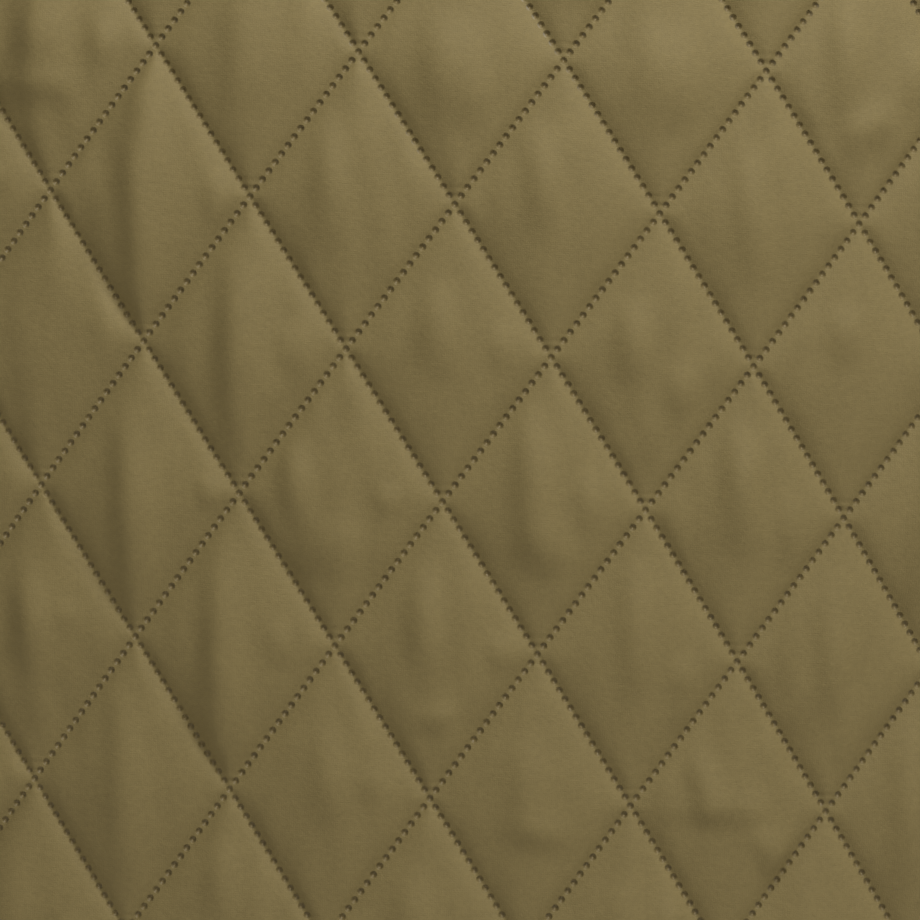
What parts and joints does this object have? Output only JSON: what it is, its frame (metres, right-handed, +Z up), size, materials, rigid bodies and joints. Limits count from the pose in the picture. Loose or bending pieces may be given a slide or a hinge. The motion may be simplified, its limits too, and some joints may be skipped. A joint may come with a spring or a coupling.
{
  "type": "quilted vest",
  "caption": "Sleeveless vest of diamond-quilted cloth with a stand collar, a front zip and bound edges, in its worn shape.",
  "frame": {"origin": "midway between the two neck points, at their height, where the shoulders carry the vest", "axes": "+Z up along the worn vest, -Y out of the front with the zip, +X to the wearer's left"},
  "size_m": [0.4294, 0.2573, 0.7251],
  "materials": {
    "quilted_cloth": "fine smooth olive weave with a low sheen, welded in dotted diamond lines",
    "binding_tape": "folded olive tape with a low sheen, topstitched",
    "zip_tape": "matte ribbed olive-brown tape",
    "zip_metal": "satin olive-brown enamel over metal"
  },
  "bodies": {
    "vest": {"back": "quilted_cloth", "front_left": "quilted_cloth", "front_right": "quilted_cloth", "collar": "quilted_cloth", "armhole_binding_left": "binding_tape", "armhole_binding_right": "binding_tape", "hem_binding": "binding_tape", "collar_binding": "binding_tape", "zip_tape_left": "zip_tape", "zip_tape_right": "zip_tape", "zip_chain_left": "zip_metal", "zip_chain_right": "zip_metal", "zip_stop_left": "zip_metal", "zip_stop_right": "zip_metal", "zip_box": "zip_metal", "zip_slider": "zip_metal"},
    "pull_tab": {"zip_pull": "zip_metal"}
  },
  "joints": [
    {"name": "zip_pull_swing", "type": "hinge", "parent": "vest", "child": "pull_tab", "pos_m": [0, -0.06804, -0.03524], "axis": [-1, 0, 0], "range_deg": [0, 160]}
  ]
}
